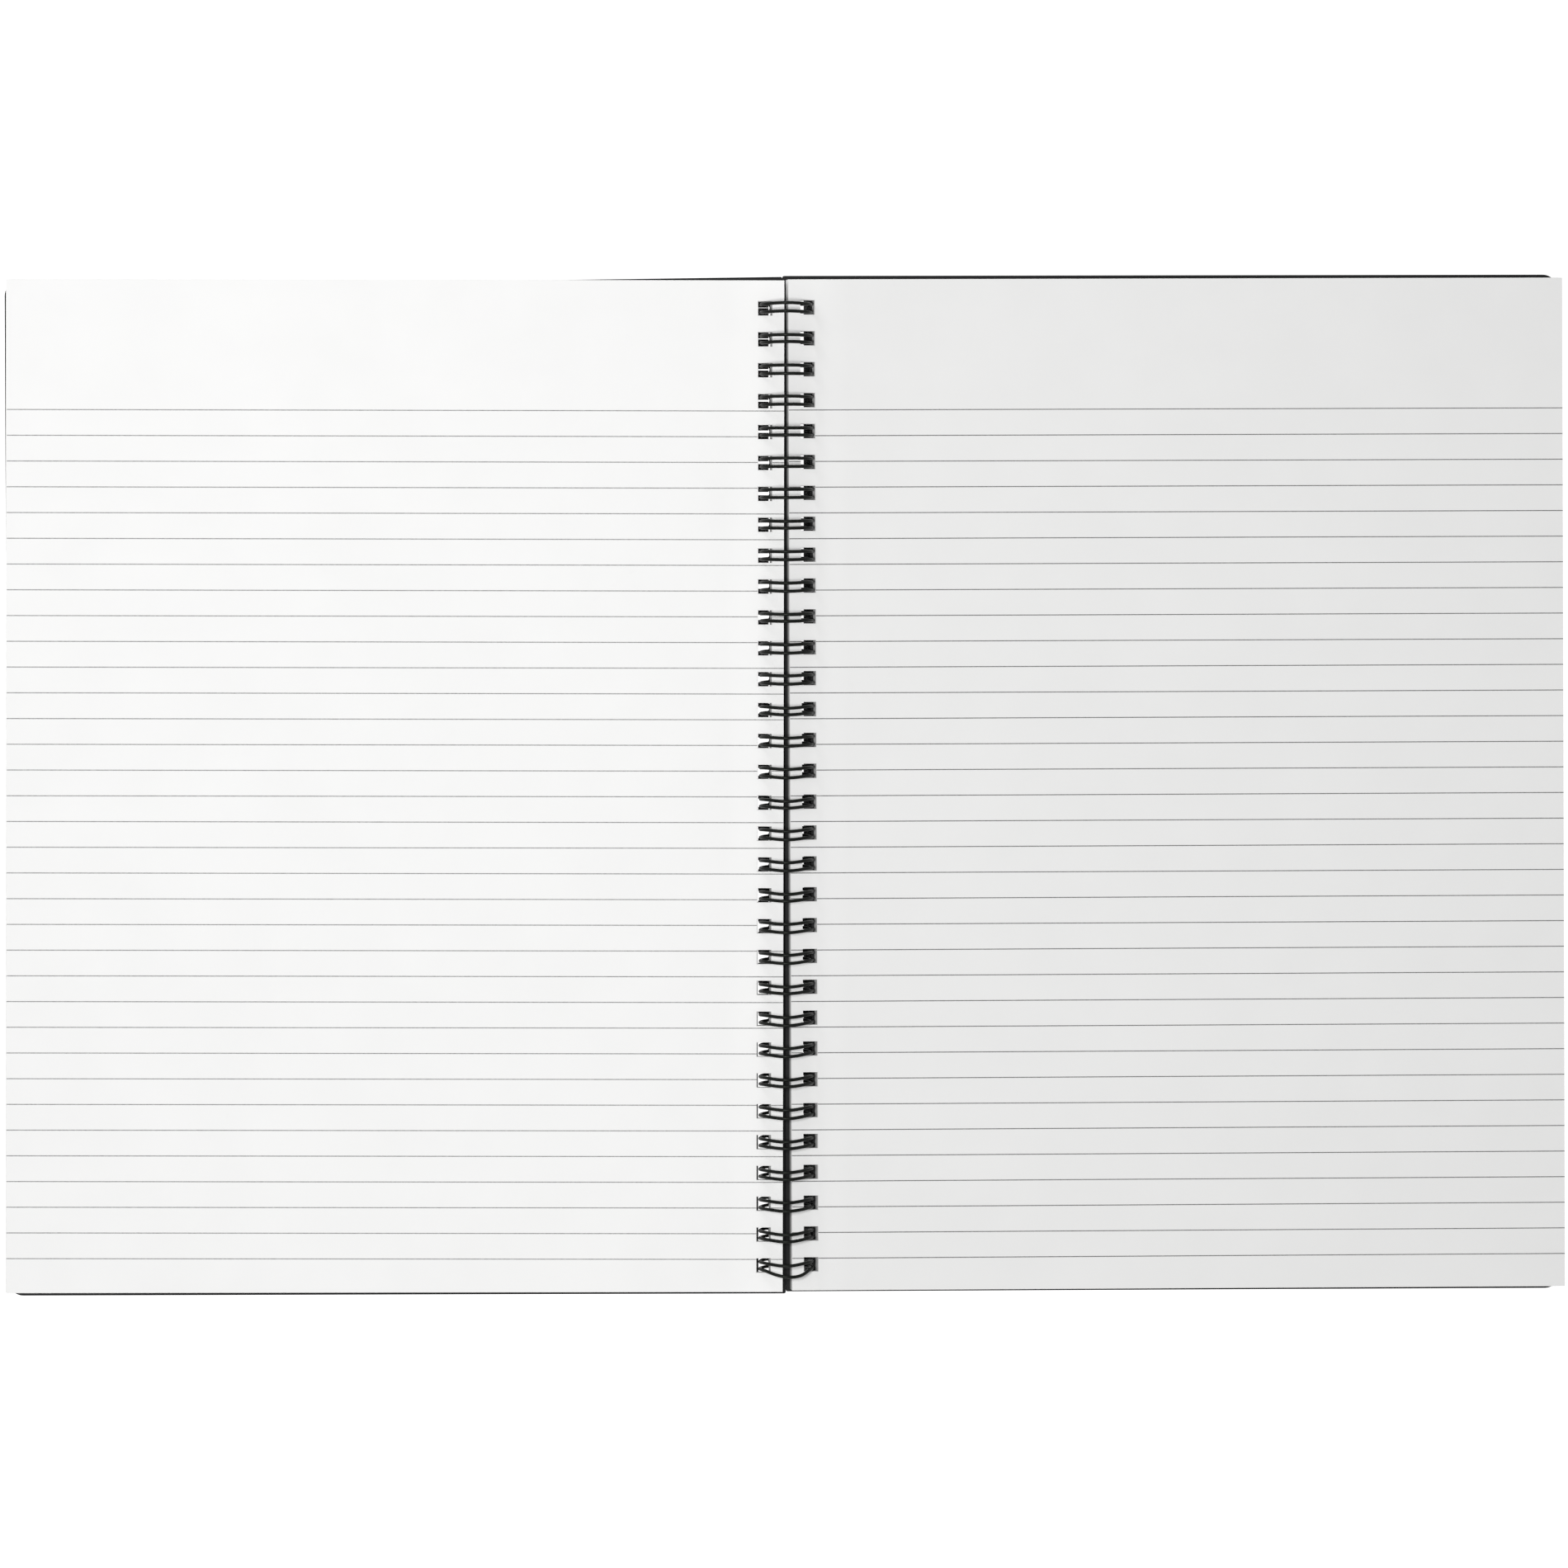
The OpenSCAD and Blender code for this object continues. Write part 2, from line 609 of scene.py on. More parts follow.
def place_on_object(tree):
    """The object's own coordinates, split in three."""
    place = tree.nodes.new("ShaderNodeTexCoord")
    split = tree.nodes.new("ShaderNodeSeparateXYZ")
    tree.links.new(place.outputs["Object"], split.inputs["Vector"])
    return split


def distance_from_spine(tree):
    """Distance from the hinge line across the page, the same on both sides."""
    away = tree.nodes.new("ShaderNodeMath")
    away.operation = "ABSOLUTE"
    tree.links.new(place_on_object(tree).outputs["X"], away.inputs[0])
    return away.outputs["Value"]


def shade_by_the_spine(tree):
    """1 on the stack, and less beside the spine, the deeper the less."""
    sheets = bpy.context.scene.notebook_sheets
    split = place_on_object(tree)
    level = mapped(tree, split.outputs["Z"], HINGE_Z - sheets.stack, HINGE_Z)
    fade = ramp(tree, level, 0.0, 1.0, (DEEP_LIGHT,) * 3, (1, 1, 1))
    away = distance_from_spine(tree)
    # Less so in the holes, not at all beyond them, and light comes in at the head of the spine
    limits = (
        (away, GUTTER_STEP, HOLE_LIGHT),
        (away, HOLES_STEP, 1.0),
        (split.outputs["Y"], HEAD_RISE, HEAD_LIGHT),
    )
    for value, step, light in limits:
        fade = combined(tree, "MAXIMUM", fade, mapped(tree, value, *step, 0.0, light))
    return fade


def paper_material(name, colour, stacked=False):
    """Uncoated white paper: faint clouds in its colour and a fine tooth of fibres, with painted
    light beside the loops and, on a stack, painted shade beside the spine.
    """
    material, tree, shader = new_material(name, colour, 0.88)
    shader.inputs["Specular IOR Level"].default_value = 0.25
    clouds = grain(tree, 60, 3)
    tint = ramp(tree, clouds, 0.3, 0.7, shade(colour, 0.988), shade(colour, 1.006))
    # Painted light beside the loops, to undo the shade that they cast on the page
    tint = scaled(tree, tint, painted_light_by_the_loops(tree))
    if stacked:
        shader.inputs["Specular IOR Level"].default_value = 0.0
        tint = scaled(tree, tint, shade_by_the_spine(tree))
    tree.links.new(tint, shader.inputs["Base Color"])
    bump(tree, shader, grain(tree, 2500, 5), 0.012 * MM, 0.5)
    return material


def ink_material(name, colour):
    """Thin printing ink that the paper's fibres break up a little."""
    material, tree, shader = new_material(name, colour, 0.8)
    shader.inputs["Specular IOR Level"].default_value = 0.25
    fibres = grain(tree, 1800, 3)
    tint = ramp(tree, fibres, 0.35, 0.7, shade(colour, 0.85), shade(colour, 1.3))
    tree.links.new(tint, shader.inputs["Base Color"])
    return material


def board_material(colour):
    """Black pressed board with a fine pebbled grain."""
    material, tree, shader = new_material("black_board", colour, 0.6)
    shader.inputs["Specular IOR Level"].default_value = 0.2
    mottle = grain(tree, 350, 4)
    tint = ramp(tree, mottle, 0.3, 0.75, shade(colour, 0.8), shade(colour, 1.5))
    tree.links.new(tint, shader.inputs["Base Color"])
    bump(tree, shader, grain(tree, 1400, 2), 0.05 * MM, 0.6)
    return material


def wire_material(colour):
    """Black enamel on steel wire: glossy, with shallow drawing marks under the enamel."""
    material, tree, shader = new_material("black_enamel", colour, 0.28)
    shader.inputs["Specular IOR Level"].default_value = 0.09
    shader.inputs["Specular Tint"].default_value = (0.95, 1.0, 0.92, 1)
    wear = grain(tree, 900, 3)
    tint = ramp(tree, wear, 0.4, 0.8, colour, shade(colour, 2.2))
    tree.links.new(tint, shader.inputs["Base Color"])
    bump(tree, shader, grain(tree, 2600, 2), 0.01 * MM, 0.4)
    return material


# Shapes

CORNER_STEPS = 10


def row_of_holes(holes):
    """Heights of the holes' middles along the spine."""
    first = -holes.drop - (holes.count - 1) / 2 * holes.pitch
    return [first + i * holes.pitch for i in range(holes.count)]


def rectangle(x_a, x_b, y_low, y_high, corners=(0.0, 0.0)):
    """A flat face at z = 0, with rounded corners where a radius is given for x_a or x_b."""
    bm = bmesh.new()
    bmesh.ops.create_grid(bm, x_segments=1, y_segments=1, size=0.5)
    bmesh.ops.scale(bm, vec=(abs(x_b - x_a), y_high - y_low, 1), verts=bm.verts)
    middle = Vector(((x_a + x_b) / 2, (y_low + y_high) / 2, 0))
    bmesh.ops.translate(bm, vec=middle, verts=bm.verts)
    ends = [[v for v in bm.verts if abs(v.co.x - x) < 1e-6] for x in (x_a, x_b)]
    for verts, corner in zip(ends, corners):
        if corner:
            bmesh.ops.bevel(
                bm,
                geom=verts,
                offset=corner,
                offset_type="OFFSET",
                segments=CORNER_STEPS,
                profile=0.5,
                affect="VERTICES",
                material=-1,
            )
    return bm


def cut(bm, faces, point, normal):
    """Cuts these faces along a plane, and leaves both sides."""
    edges = {edge for face in faces for edge in face.edges}
    verts = {vert for face in faces for vert in face.verts}
    bmesh.ops.bisect_plane(
        bm,
        geom=[*faces, *edges, *verts],
        dist=1e-8,
        plane_co=point,
        plane_no=normal,
    )


def punch(bm, hole_x, rows, width, height):
    """Punches a row of holes through a flat face."""
    for side in (-1, 1):
        cut(bm, bm.faces[:], (hole_x + side * width / 2, 0, 0), (1, 0, 0))
    for y in rows:
        for side in (-1, 1):
            strip = [f for f in bm.faces if abs(f.calc_center_median().x - hole_x) < width / 2]
            cut(bm, strip, (0, y + side * height / 2, 0), (0, 1, 0))
    waste = []
    for face in bm.faces:
        middle = face.calc_center_median()
        in_column = abs(middle.x - hole_x) < width / 2
        if in_column and any(abs(middle.y - y) < height / 2 for y in rows):
            waste.append(face)
    bmesh.ops.delete(bm, geom=waste, context="FACES")


def rule(bm, heights, width):
    """Cuts a band out of the face for each ruled line and gives it the second material."""
    for y in heights:
        for side in (-1, 1):
            cut(bm, bm.faces[:], (0, y + side * width / 2, 0), (0, 1, 0))
    for face in bm.faces:
        middle = face.calc_center_median().y
        if any(abs(middle - y) < width / 2 for y in heights):
            face.material_index = 1


def thicken(bm, thickness):
    """Gives a flat face its thickness, downward from z = 0."""
    grown = bmesh.ops.extrude_face_region(bm, geom=bm.faces[:], use_keep_orig=True)
    lower = [item for item in grown["geom"] if isinstance(item, bmesh.types.BMVert)]
    bmesh.ops.translate(bm, vec=(0, 0, -thickness), verts=lower)
    bmesh.ops.recalc_face_normals(bm, faces=bm.faces)


def turn_about(x, y, angle):
    """A turn in the plane of the pages about a point."""
    there = Matrix.Translation((x, y, 0))
    return there @ Matrix.Rotation(angle, 4, "Z") @ there.inverted()


def as_it_lies(side, slip):
    """Carries a half from its flat layout, with the page faces at z = 0, to where it rests."""
    place = Matrix.Translation((0, side * slip, HINGE_Z))
    return place @ Matrix.Rotation(side * rest_slope(), 4, "Y")


def rest_slope():
    """The angle by which a half slopes down from the loops to the table."""
    scene = bpy.context.scene
    sheets, covers = scene.notebook_sheets, scene.notebook_covers
    depth = sheets.stack + covers.board
    reach = covers.gap / 2 + covers.width + covers.shift
    reach += covers.height / 2 * math.sin(covers.turn)
    return math.asin(HINGE_Z / math.hypot(reach, depth)) - math.atan(depth / reach)


def finished(bm, name, body, materials, smooth=None):
    """Makes a piece of the mesh, on its body, with its materials."""
    mesh = bpy.data.meshes.new(name)
    bm.to_mesh(mesh)
    bm.free()
    return placed(mesh, name, body, materials, smooth)


def placed(mesh, name, body, materials, smooth=None):
    """Puts a mesh in the scene as a piece. Faces that meet below the angle smooth blend."""
    for material in materials:
        mesh.materials.append(material)
    piece = bpy.data.objects.new(name, mesh)
    bpy.context.scene.collection.objects.link(piece)
    if smooth is not None:
        mesh.shade_smooth()
        mesh.set_sharp_from_angle(angle=smooth)
    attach(piece, body)
    return piece


def sheet_edges(side):
    """The spine edge and the fore edge of the top sheet on one side."""
    sheets = bpy.context.scene.notebook_sheets
    return side * sheets.spine_gap, side * (sheets.spine_gap + sheets.width)


def blank_sheet(side, ruled):
    """One sheet in its flat layout, with its holes and, where it shows, its ruling."""
    scene = bpy.context.scene
    sheets, holes = scene.notebook_sheets, scene.notebook_holes
    head = sheets.height / 2 - sheets.drop
    foot = head - sheets.height
    bm = rectangle(*sheet_edges(side), foot, head)
    near, far = sheets.left_foot if side == LEFT else sheets.right_foot
    for vert in bm.verts:
        if vert.co.y < 0:
            vert.co.y -= near if abs(vert.co.x) < sheets.width / 2 else far
    punch(bm, side * holes.sheet_x, row_of_holes(holes), holes.size, holes.size)
    if ruled:
        first = head - sheets.head_margin
        heights = [first - i * sheets.line_pitch for i in range(sheets.line_count)]
        rule(bm, heights, sheets.line_width)
    thicken(bm, sheets.paper)
    return bm


def sheets_turn(side):
    """The turn of the sheets on one side."""
    sheets = bpy.context.scene.notebook_sheets
    return sheets.left_turn if side == LEFT else sheets.right_turn


def sheet_place(side, depth, shift=(0, 0), twist=0.0):
    """Where a sheet lies, at this depth below the page face, with its small misfit."""
    scene = bpy.context.scene
    sheets, holes, covers = scene.notebook_sheets, scene.notebook_holes, scene.notebook_covers
    radius = (sheets.stack**2 + sheets.lean**2) / (2 * sheets.lean)
    lean = radius - math.sqrt(radius**2 - depth**2)
    pivot = (side * holes.sheet_x, -holes.drop)
    offset = Matrix.Translation((shift[0] - lean, shift[1], -depth))
    turn = turn_about(*pivot, sheets_turn(side) + twist)
    return as_it_lies(side, covers.slip) @ turn @ offset


class NOTEBOOK_OT_ruled_sheets(Operator):
    """Add the ruled top sheet of each half"""

    bl_idname = "notebook.ruled_sheets"
    bl_label = "Ruled sheets"

    def execute(self, context):
        colours = context.scene.notebook_colours
        # The right paper's colour carries painted shade
        tones = {
            LEFT: (colours.left_paper, colours.left_ink),
            RIGHT: (colours.right_paper, colours.right_ink),
        }
        for side, half in HALVES.items():
            bm = blank_sheet(side, ruled=True)
            bm.transform(sheet_place(side, 0))
            paper, ink = tones[side]
            name = half["name"]
            materials = [
                paper_material(f"{name}_paper", paper),
                ink_material(f"{name}_ruling", ink),
            ]
            finished(bm, f"{name}_top_sheet", half["body"], materials)
        return {"FINISHED"}


# The small misfits of the stacked sheets, in millimetres across and along, and in degrees
SHEETS_SEED = 11
ACROSS_WOBBLE, ALONG_WOBBLE, TWIST_WOBBLE = 0.04, 0.07, 0.008


class NOTEBOOK_OT_sheets(Operator):
    """Add the stack of sheets under the top sheet of each half"""

    bl_idname = "notebook.sheets"
    bl_label = "Stacks of sheets"

    def execute(self, context):
        sheets, colours = context.scene.notebook_sheets, context.scene.notebook_colours
        # The right paper's colour carries painted shade
        tones = {LEFT: colours.left_paper, RIGHT: colours.right_paper}
        for side, half in HALVES.items():
            pattern = bpy.data.meshes.new("sheet_pattern")
            one = blank_sheet(side, ruled=False)
            one.to_mesh(pattern)
            one.free()
            bm = bmesh.new()
            wobble = random.Random(SHEETS_SEED + side)
            for i in range(1, sheets.count):
                before = len(bm.verts)
                bm.from_mesh(pattern)
                bm.verts.ensure_lookup_table()
                across = wobble.uniform(-ACROSS_WOBBLE, ACROSS_WOBBLE) * MM
                along = wobble.uniform(-ALONG_WOBBLE, ALONG_WOBBLE) * MM
                twist = math.radians(wobble.uniform(-TWIST_WOBBLE, TWIST_WOBBLE))
                depth = sheets.stack * i / sheets.count
                place = sheet_place(side, depth, (across, along), twist)
                bmesh.ops.transform(bm, matrix=place, verts=bm.verts[before:])
            bpy.data.meshes.remove(pattern)
            name = half["name"]
            materials = [paper_material(f"{name}_stack", tones[side], stacked=True)]
            stack = finished(bm, f"{name}_sheets", half["body"], materials)
            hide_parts(half["pages"])
        return {"FINISHED"}


# Edges of the board sharper than the first are worn round, and faces that meet below the
# second blend
SHARP_EDGE = math.radians(60)
BOARD_SMOOTH = math.radians(30)


class NOTEBOOK_OT_covers(Operator):
    """Add the front cover and the back cover"""

    bl_idname = "notebook.covers"
    bl_label = "Covers"

    def execute(self, context):
        scene = context.scene
        covers, holes, sheets = scene.notebook_covers, scene.notebook_holes, scene.notebook_sheets
        board = board_material(scene.notebook_colours.board)
        for side, half in HALVES.items():
            near = side * covers.gap / 2
            far = side * (covers.gap / 2 + covers.width)
            corners = (covers.spine_corner, covers.corner)
            bm = rectangle(near, far, -covers.height / 2, covers.height / 2, corners)
            if side == LEFT:
                cut(bm, bm.faces[:], (-covers.trim_reach, 0, 0), (1, 0, 0))
            for vert in bm.verts:
                away = abs(vert.co.x)
                if side == LEFT and vert.co.y > 0:
                    vert.co.y -= covers.front_trim * min(1.0, away / covers.trim_reach)
                if vert.co.y < 0:
                    drops = covers.foot_drop if side == LEFT else reversed(covers.foot_drop)
                    at_spine, at_fore = drops
                    vert.co.y -= at_spine + (at_fore - at_spine) * away / covers.width
            rows = row_of_holes(holes)
            punch(bm, side * holes.cover_x, rows, holes.cover_width, holes.cover_height)
            thicken(bm, covers.board)
            sharp = [e for e in bm.edges if e.calc_face_angle(0) > SHARP_EDGE]
            bmesh.ops.bevel(
                bm,
                geom=sharp,
                offset=covers.edge,
                offset_type="OFFSET",
                segments=2,
                profile=0.5,
                affect="EDGES",
                material=-1,
            )
            turn = turn_about(side * holes.cover_x, -holes.drop, covers.turn)
            shift = Matrix.Translation((-covers.shift, 0, -sheets.stack))
            bm.transform(as_it_lies(side, covers.slip) @ shift @ turn)
            name = f"{half['cover']}_board"
            cover = finished(bm, name, half["body"], [board], BOARD_SMOOTH)
            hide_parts(half["cover"])
        return {"FINISHED"}


# How sharply the crowns bow, and how the last wire's bulge begins and leans to the right
CROWN_POWER = 4
BULGE_START = 0.45
BULGE_EVEN = 0.35
BULGE_TO_RIGHT = 0.6
# Steps in a loop's arc, and the unevenness of loops that were bent and handled
ARC_STEPS = 40
WIRE_SEED = 5
SPREAD_WOBBLE = 0.06
LEAN_WOBBLE = 0.08
# The tuck at the head is gone this part of the way along the row
TUCK_END = 1 / 4
WIRE_SMOOTH = math.radians(50)


def crown_weight(up):
    """1 at the crown of a loop, falling off to 0 at both sides in a bow as seen from above."""
    return max(0.0, up) ** CROWN_POWER


def bulge_weight(up):
    """The same for the very last wire, which bows out over more of its length."""
    part = max(0.0, (up - BULGE_START) / (1 - BULGE_START))
    steep = part * part * (3 - 2 * part)
    return BULGE_EVEN * max(0.0, up) + (1 - BULGE_EVEN) * steep


def loop_path(wire, middle, spread, lean, slope, tuck, reach, bulge):
    """Points of one loop, from its foot over the crown to its tip, and back by its second wire."""
    radius = LOOP_OUTSIDE - wire.thickness / 2
    sweep = 2 * math.pi - wire.seam
    arcs = {}
    for side in (1, -1):
        arc = []
        for i in range(ARC_STEPS + 1):
            angle = -math.pi / 2 + sweep * i / ARC_STEPS
            out, up = math.cos(angle), math.sin(angle)
            x = radius * out + reach * min(0.0, out) - tuck * max(0.0, out) ** 2
            half = (wire.foot_loop + (spread - wire.foot_loop) * (1 + up) / 2) / 2
            y = middle + side * half + slope * max(0.0, x) - lean * crown_weight(up)
            y += wire.sag * max(0.0, -up)
            if side == -1:
                y -= bulge * (1 + BULGE_TO_RIGHT * out) * bulge_weight(up)
            arc.append(Vector((x, y, HINGE_Z + radius * up)))
        arcs[side] = arc
    last = -math.pi / 2 + sweep
    onward = Vector((-math.sin(last), 0, math.cos(last)))
    tip = half_turn(arcs[1][-1], arcs[-1][-1], onward)
    return arcs[1] + tip + arcs[-1][::-1]


def half_turn(start, end, onward, steps=10):
    """Points on a half circle from start to end that bows onward, without the two ends."""
    centre = (start + end) / 2
    arm = start - centre
    bow = onward * arm.length
    angles = [math.pi * i / steps for i in range(1, steps)]
    return [centre + arm * math.cos(angle) + bow * math.sin(angle) for angle in angles]


class NOTEBOOK_OT_wire(Operator):
    """Add the twin-loop wire"""

    bl_idname = "notebook.wire"
    bl_label = "Twin-loop wire"

    def execute(self, context):
        scene = context.scene
        wire, holes = scene.notebook_wire, scene.notebook_holes
        hand = random.Random(WIRE_SEED)
        points = []
        for i in range(holes.count):
            # From the head of the page to its foot
            middle = WIRE_MIDDLE_Y + ((holes.count - 1) / 2 - i) * holes.pitch
            # Every third loop is narrow, and so are two out of turn near the foot
            narrow = i % 3 == 1 or i in (holes.count - 5, holes.count - 2)
            spread = wire.narrow_loop if narrow else wire.wide_loop
            spread += hand.uniform(-SPREAD_WOBBLE, SPREAD_WOBBLE) * MM
            along = i / (holes.count - 1)
            middle += wire.lift * along
            lean = wire.foot_lean - (wire.foot_lean + wire.head_lean) * (1 - along) ** 2
            lean += hand.uniform(-LEAN_WOBBLE, LEAN_WOBBLE) * MM
            slope = wire.foot_slope * along
            tuck = wire.head_tuck * max(0.0, 1 - along / TUCK_END)
            bulge = wire.bulge if i == holes.count - 1 else 0.0
            reach = wire.head_reach + (wire.foot_reach - wire.head_reach) * along
            loop = loop_path(wire, middle, spread, lean, slope, tuck, reach, bulge)
            if points:
                points += half_turn(points[-1], loop[0], Vector((-1, 0, 0)))
            points += loop
        curve = bpy.data.curves.new("wire_path", "CURVE")
        curve.dimensions = "3D"
        curve.bevel_depth = wire.thickness / 2
        curve.bevel_resolution = 4
        curve.use_fill_caps = True
        spline = curve.splines.new("POLY")
        spline.points.add(len(points) - 1)
        for spot, point in zip(spline.points, points):
            spot.co = (*point, 1)
        path = bpy.data.objects.new("wire_path", curve)
        mesh = bpy.data.meshes.new_from_object(path)
        mesh.materials.clear()
        bpy.data.objects.remove(path)
        bpy.data.curves.remove(curve)
        enamel = wire_material(scene.notebook_colours.wire)
        piece = placed(mesh, "wire_loops", "binding", [enamel], WIRE_SMOOTH)
        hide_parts("twin_loop_wire")
        return {"FINISHED"}


def area_lamp(name, place, size, power):
    """A square soft white lamp that looks at the middle of the notebook."""
    lamp = bpy.data.lights.new(name, "AREA")
    lamp.shape = "SQUARE"
    lamp.size = size
    lamp.energy = power
    holder = bpy.data.objects.new(name, lamp)
    holder.location = place
    look = -Vector(place)
    holder.rotation_euler = look.to_track_quat("-Z", "Y").to_euler()
    bpy.context.scene.collection.objects.link(holder)


def seen_directly(tree):
    """1 for what the camera sees itself, in a mirror or through glass, and 0 for other light."""
    light = tree.nodes.new("ShaderNodeLightPath")
    total = light.outputs["Is Camera Ray"]
    for kind in ("Is Glossy Ray", "Is Transmission Ray"):
        add = tree.nodes.new("ShaderNodeMath")
        add.operation = "ADD"
        add.use_clamp = True
        tree.links.new(total, add.inputs[0])
        tree.links.new(light.outputs[kind], add.inputs[1])
        total = add.outputs["Value"]
    return total


# Painted shade on the floor: how near a thing has to be for the shade to be painted, and between
# which shares of open sky the floor's painted tone turns from dark to white
PAINTED_SHADE_REACH = 30 * MM
PAINTED_SHADE_SPAN = (0.2, 0.4)
# The slots of painted white light between the wires of the left loops: how the floor stretches the
# pitch of the holes as the camera sees it, where the slots lie, and half their width at head and
# foot
SLOT_STRETCH = 1.0047
SLOT_SHIFT = 0.83 * MM
SLOT_FADE = (130 * MM, -80 * MM)
SLOT_GAPS = (0.05 * MM, 1.7 * MM)
# Where the floor is painted white and glows: across the spine in the left holes and beside them,
# along the spine at the foot, and across it in the right holes
SLOT_EDGE = -4.7 * MM
OUTER_EDGE = -7.75 * MM
FOOT_EDGE = -70 * MM
INNER_STRIP = (-4.9 * MM, -4.0 * MM)
RIGHT_STRIP = (0.5 * MM, 4.75 * MM)
# The floor's colour where shade is painted and where it is open, and the strength of its glow,
# which also makes the painted white glow
FLOOR_PAINTED_SHADE, FLOOR_WHITE = 0.01, 0.5
FLOOR_GLOW = 0.95


def floor_painted_light_and_shade(tree):
    """0 on the floor under the spine and the right half, where shade is painted, and 1 elsewhere,
    with white painted in slots and strips under the holes.
    """
    holes = bpy.context.scene.notebook_holes
    # Painted shade: the floor is darkened where things close above it hide the sky
    shade_probe = tree.nodes.new("ShaderNodeAmbientOcclusion")
    shade_probe.inputs["Distance"].default_value = PAINTED_SHADE_REACH
    shade_probe.samples = 8
    sky = mapped(tree, shade_probe.outputs["AO"], *PAINTED_SHADE_SPAN)
    split = place_on_object(tree)
    x, y = split.outputs["X"], split.outputs["Y"]
    # Painted white shows through the left holes, in a slot between the wires that widens toward
    # the foot
    half_pitch = holes.pitch * SLOT_STRETCH / 2
    row = changed(tree, "PINGPONG", changed(tree, "ADD", y, SLOT_SHIFT), half_pitch)
    gaps = [half_pitch - gap for gap in SLOT_GAPS]
    painted_slot = combined(tree, "GREATER_THAN", row, mapped(tree, y, *SLOT_FADE, *gaps))
    painted_slot = combined(tree, "MAXIMUM", painted_slot, below(tree, y, FOOT_EDGE))
    painted_white = combined(tree, "MULTIPLY", painted_slot, below(tree, x, SLOT_EDGE))
    # The painted white shows past their outer edge and in a strip at their inner one, and in a
    # strip on the right
    painted_white = combined(tree, "MAXIMUM", painted_white, below(tree, x, OUTER_EDGE))
    for strip in (INNER_STRIP, RIGHT_STRIP):
        painted_white = combined(tree, "MAXIMUM", painted_white, between(tree, x, *strip))
    return combined(tree, "MAXIMUM", sky, painted_white)


def floor_material():
    """A white floor that keeps soft shadows and reads as plain white beside them, with painted
    shade under the spine and the right half, and painted white that glows in slots and strips
    under the holes.
    """
    material = bpy.data.materials.new("floor_white")
    material.use_nodes = True
    tree = material.node_tree
    tree.nodes.clear()
    output = tree.nodes.new("ShaderNodeOutputMaterial")
    painted_floor_tone = floor_painted_light_and_shade(tree)
    # Painted shade: the floor's colour goes dark where it is marked as sheltered
    grey = ramp(tree, painted_floor_tone, 0.0, 1.0, (FLOOR_PAINTED_SHADE,) * 3, (FLOOR_WHITE,) * 3)
    diffuse = tree.nodes.new("ShaderNodeBsdfDiffuse")
    tree.links.new(grey, diffuse.inputs["Color"])
    glow = tree.nodes.new("ShaderNodeEmission")
    glow.inputs["Color"].default_value = (1, 1, 1, 1)
    both = tree.nodes.new("ShaderNodeAddShader")
    # The glow is cut where shade is painted, and it lights the painted white
    seen = combined(tree, "MULTIPLY", seen_directly(tree), painted_floor_tone)
    tree.links.new(changed(tree, "MULTIPLY", seen, FLOOR_GLOW), glow.inputs["Strength"])
    tree.links.new(diffuse.outputs["BSDF"], both.inputs[0])
    tree.links.new(glow.outputs["Emission"], both.inputs[1])
    tree.links.new(both.outputs["Shader"], output.inputs["Surface"])
    return material


# Half the side of the floor and how far it lies under the notebook, and the white sky's
# strength as a light and as it looks itself
FLOOR_HALF = 4
FLOOR_GAP = 0.05 * MM
SKY_LIGHT, SKY_SEEN = 0.4, 1.0


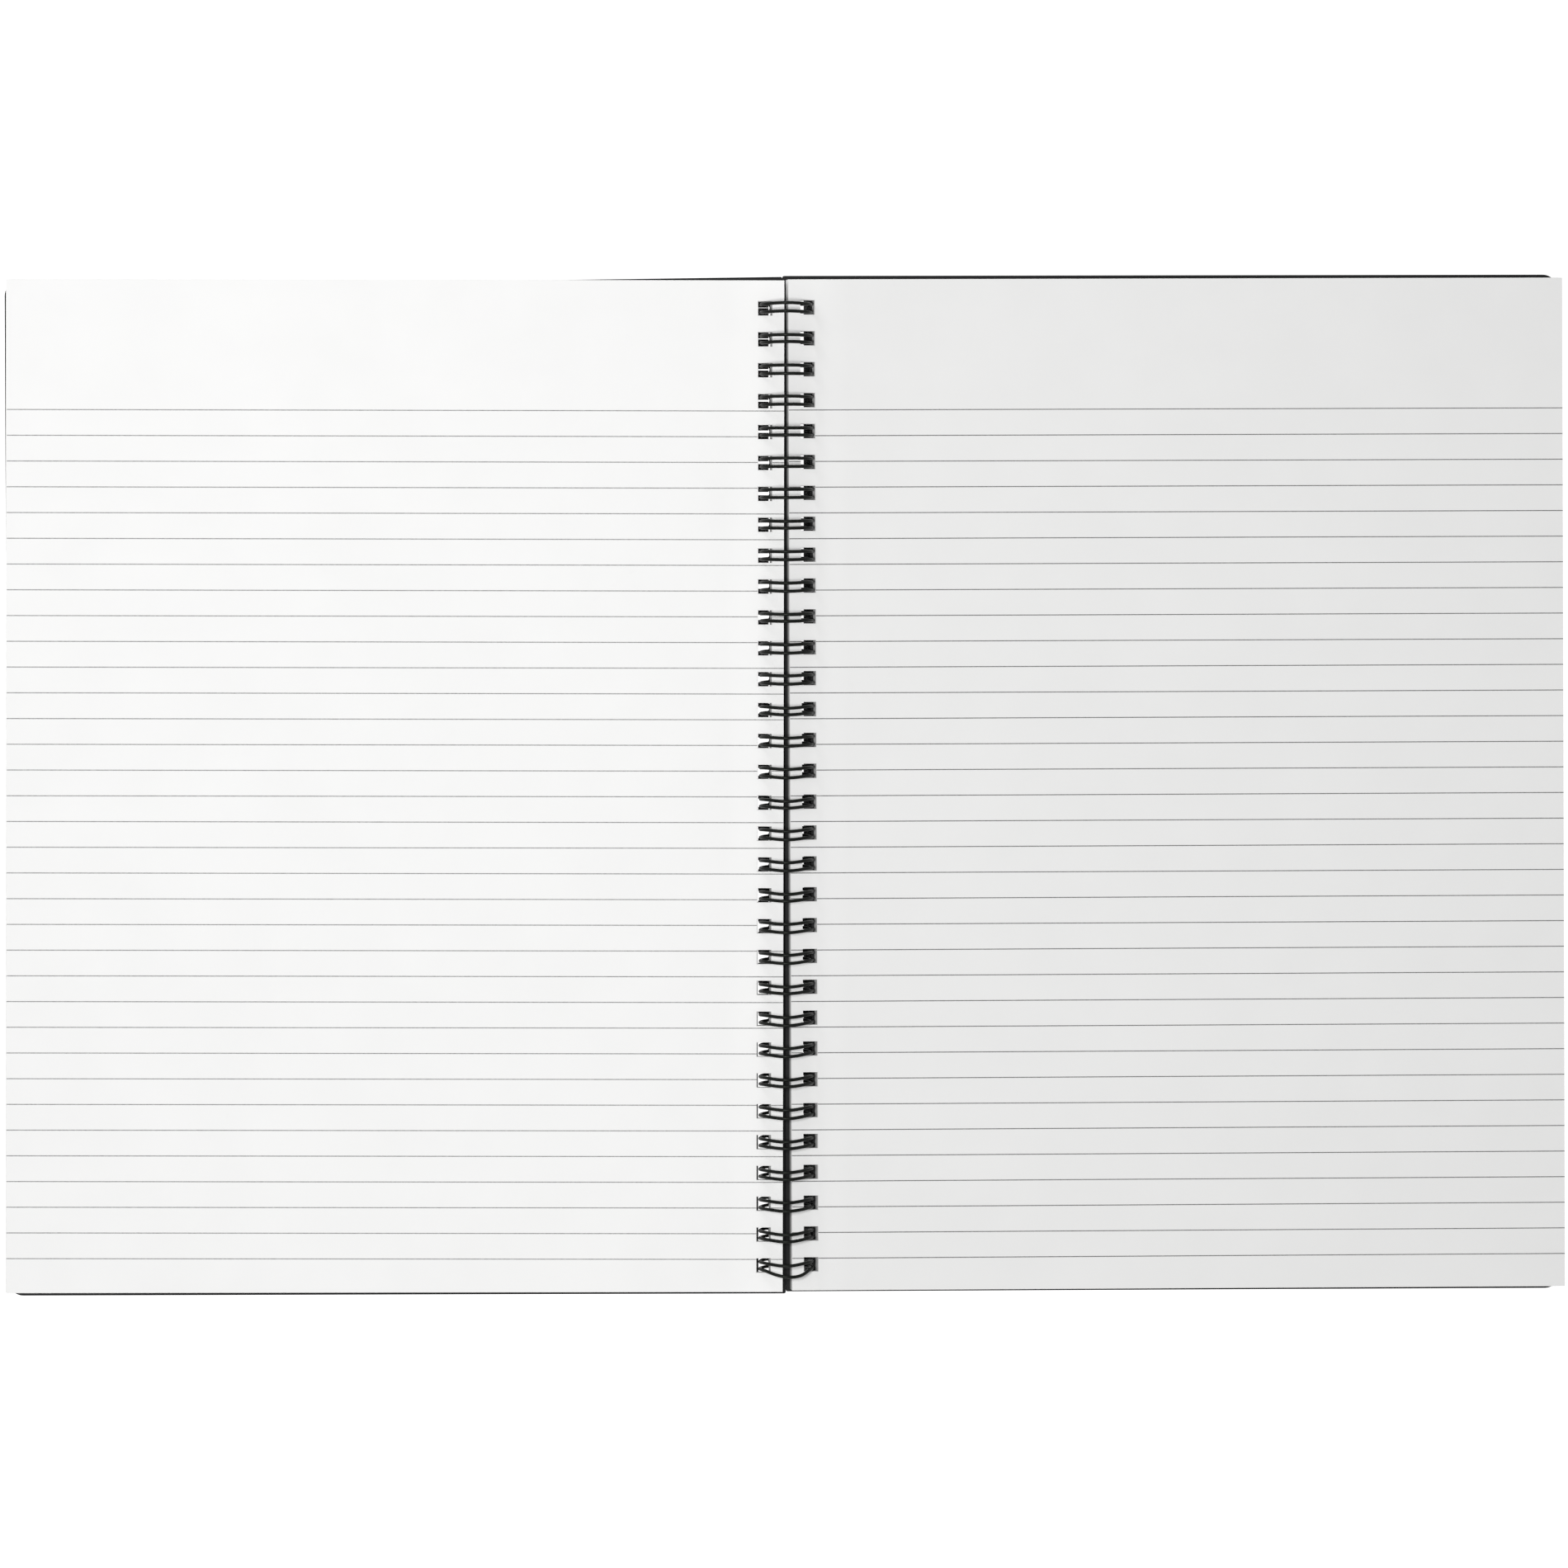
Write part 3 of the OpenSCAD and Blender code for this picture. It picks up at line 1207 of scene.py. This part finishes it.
class NOTEBOOK_OT_stage(Operator):
    """Add the floor, the lamps, the sky and the camera"""

    bl_idname = "notebook.stage"
    bl_label = "Stage"

    def execute(self, context):
        scene = context.scene
        stage = scene.notebook_stage
        bm = bmesh.new()
        bmesh.ops.create_grid(bm, x_segments=1, y_segments=1, size=FLOOR_HALF)
        bmesh.ops.translate(bm, vec=(0, 0, -FLOOR_GAP), verts=bm.verts)
        mesh = bpy.data.meshes.new("floor")
        bm.to_mesh(mesh)
        bm.free()
        mesh.materials.append(floor_material())
        floor = bpy.data.objects.new("floor", mesh)
        scene.collection.objects.link(floor)

        world = bpy.data.worlds.new("studio")
        scene.world = world
        world.use_nodes = True
        tree = world.node_tree
        sky = tree.nodes["Background"]
        sky.inputs["Color"].default_value = (1, 1, 1, 1)
        blend = tree.nodes.new("ShaderNodeMix")
        blend.data_type = "FLOAT"
        blend.inputs["A"].default_value = SKY_LIGHT
        blend.inputs["B"].default_value = SKY_SEEN
        tree.links.new(seen_directly(tree), blend.inputs["Factor"])
        tree.links.new(blend.outputs["Result"], sky.inputs["Strength"])

        area_lamp("top_lamp", place=(-0.17, -0.01, 1.17), size=0.2, power=7.4)
        area_lamp("left_lamp", place=(-0.35, 0.48, 0.36), size=0.2, power=0.49)

        camera = bpy.data.cameras.new("camera")
        camera.sensor_width = 36
        camera.lens = camera.sensor_width * stage.camera_height / stage.view_width
        camera.clip_start = 0.05
        camera.clip_end = 20
        holder = bpy.data.objects.new("camera", camera)
        aim = Vector((stage.view_x, stage.view_y, HINGE_Z))
        turn = Matrix.Rotation(-stage.lean_left, 4, "Y") @ Matrix.Rotation(-stage.lean_up, 4, "X")
        holder.matrix_world = (
            Matrix.Translation(aim) @ turn @ Matrix.Translation((0, 0, stage.camera_height))
        )
        scene.collection.objects.link(holder)
        scene.camera = holder

        scene.view_settings.view_transform = "Standard"
        return {"FINISHED"}


class NOTEBOOK_PT_panel(Panel):
    """The notebook's pieces and sizes"""

    bl_idname = "NOTEBOOK_PT_panel"
    bl_label = "Wire-bound notebook"
    bl_space_type = "VIEW_3D"
    bl_region_type = "UI"
    bl_category = "Notebook"

    def draw(self, context):
        for operator in OPERATORS:
            self.layout.operator(operator.bl_idname)
        for name in GROUPS:
            group = getattr(context.scene, name)
            box = self.layout.box()
            for prop in group.bl_rna.properties:
                if prop.identifier not in {"rna_type", "name"}:
                    box.prop(group, prop.identifier)


OPERATORS = (
    NOTEBOOK_OT_ruled_sheets,
    NOTEBOOK_OT_sheets,
    NOTEBOOK_OT_covers,
    NOTEBOOK_OT_wire,
    NOTEBOOK_OT_stage,
)


def register():
    for cls in (*GROUPS.values(), *OPERATORS, NOTEBOOK_PT_panel):
        bpy.utils.register_class(cls)
    for name, group in GROUPS.items():
        setattr(bpy.types.Scene, name, PointerProperty(type=group))


def unregister():
    for name in GROUPS:
        delattr(bpy.types.Scene, name)
    for cls in reversed((*GROUPS.values(), *OPERATORS, NOTEBOOK_PT_panel)):
        bpy.utils.unregister_class(cls)


def main():
    register()
    bpy.ops.notebook.ruled_sheets()
    bpy.ops.notebook.sheets()
    bpy.ops.notebook.covers()
    bpy.ops.notebook.wire()
    bpy.ops.notebook.stage()


if __name__ == "__main__":
    main()
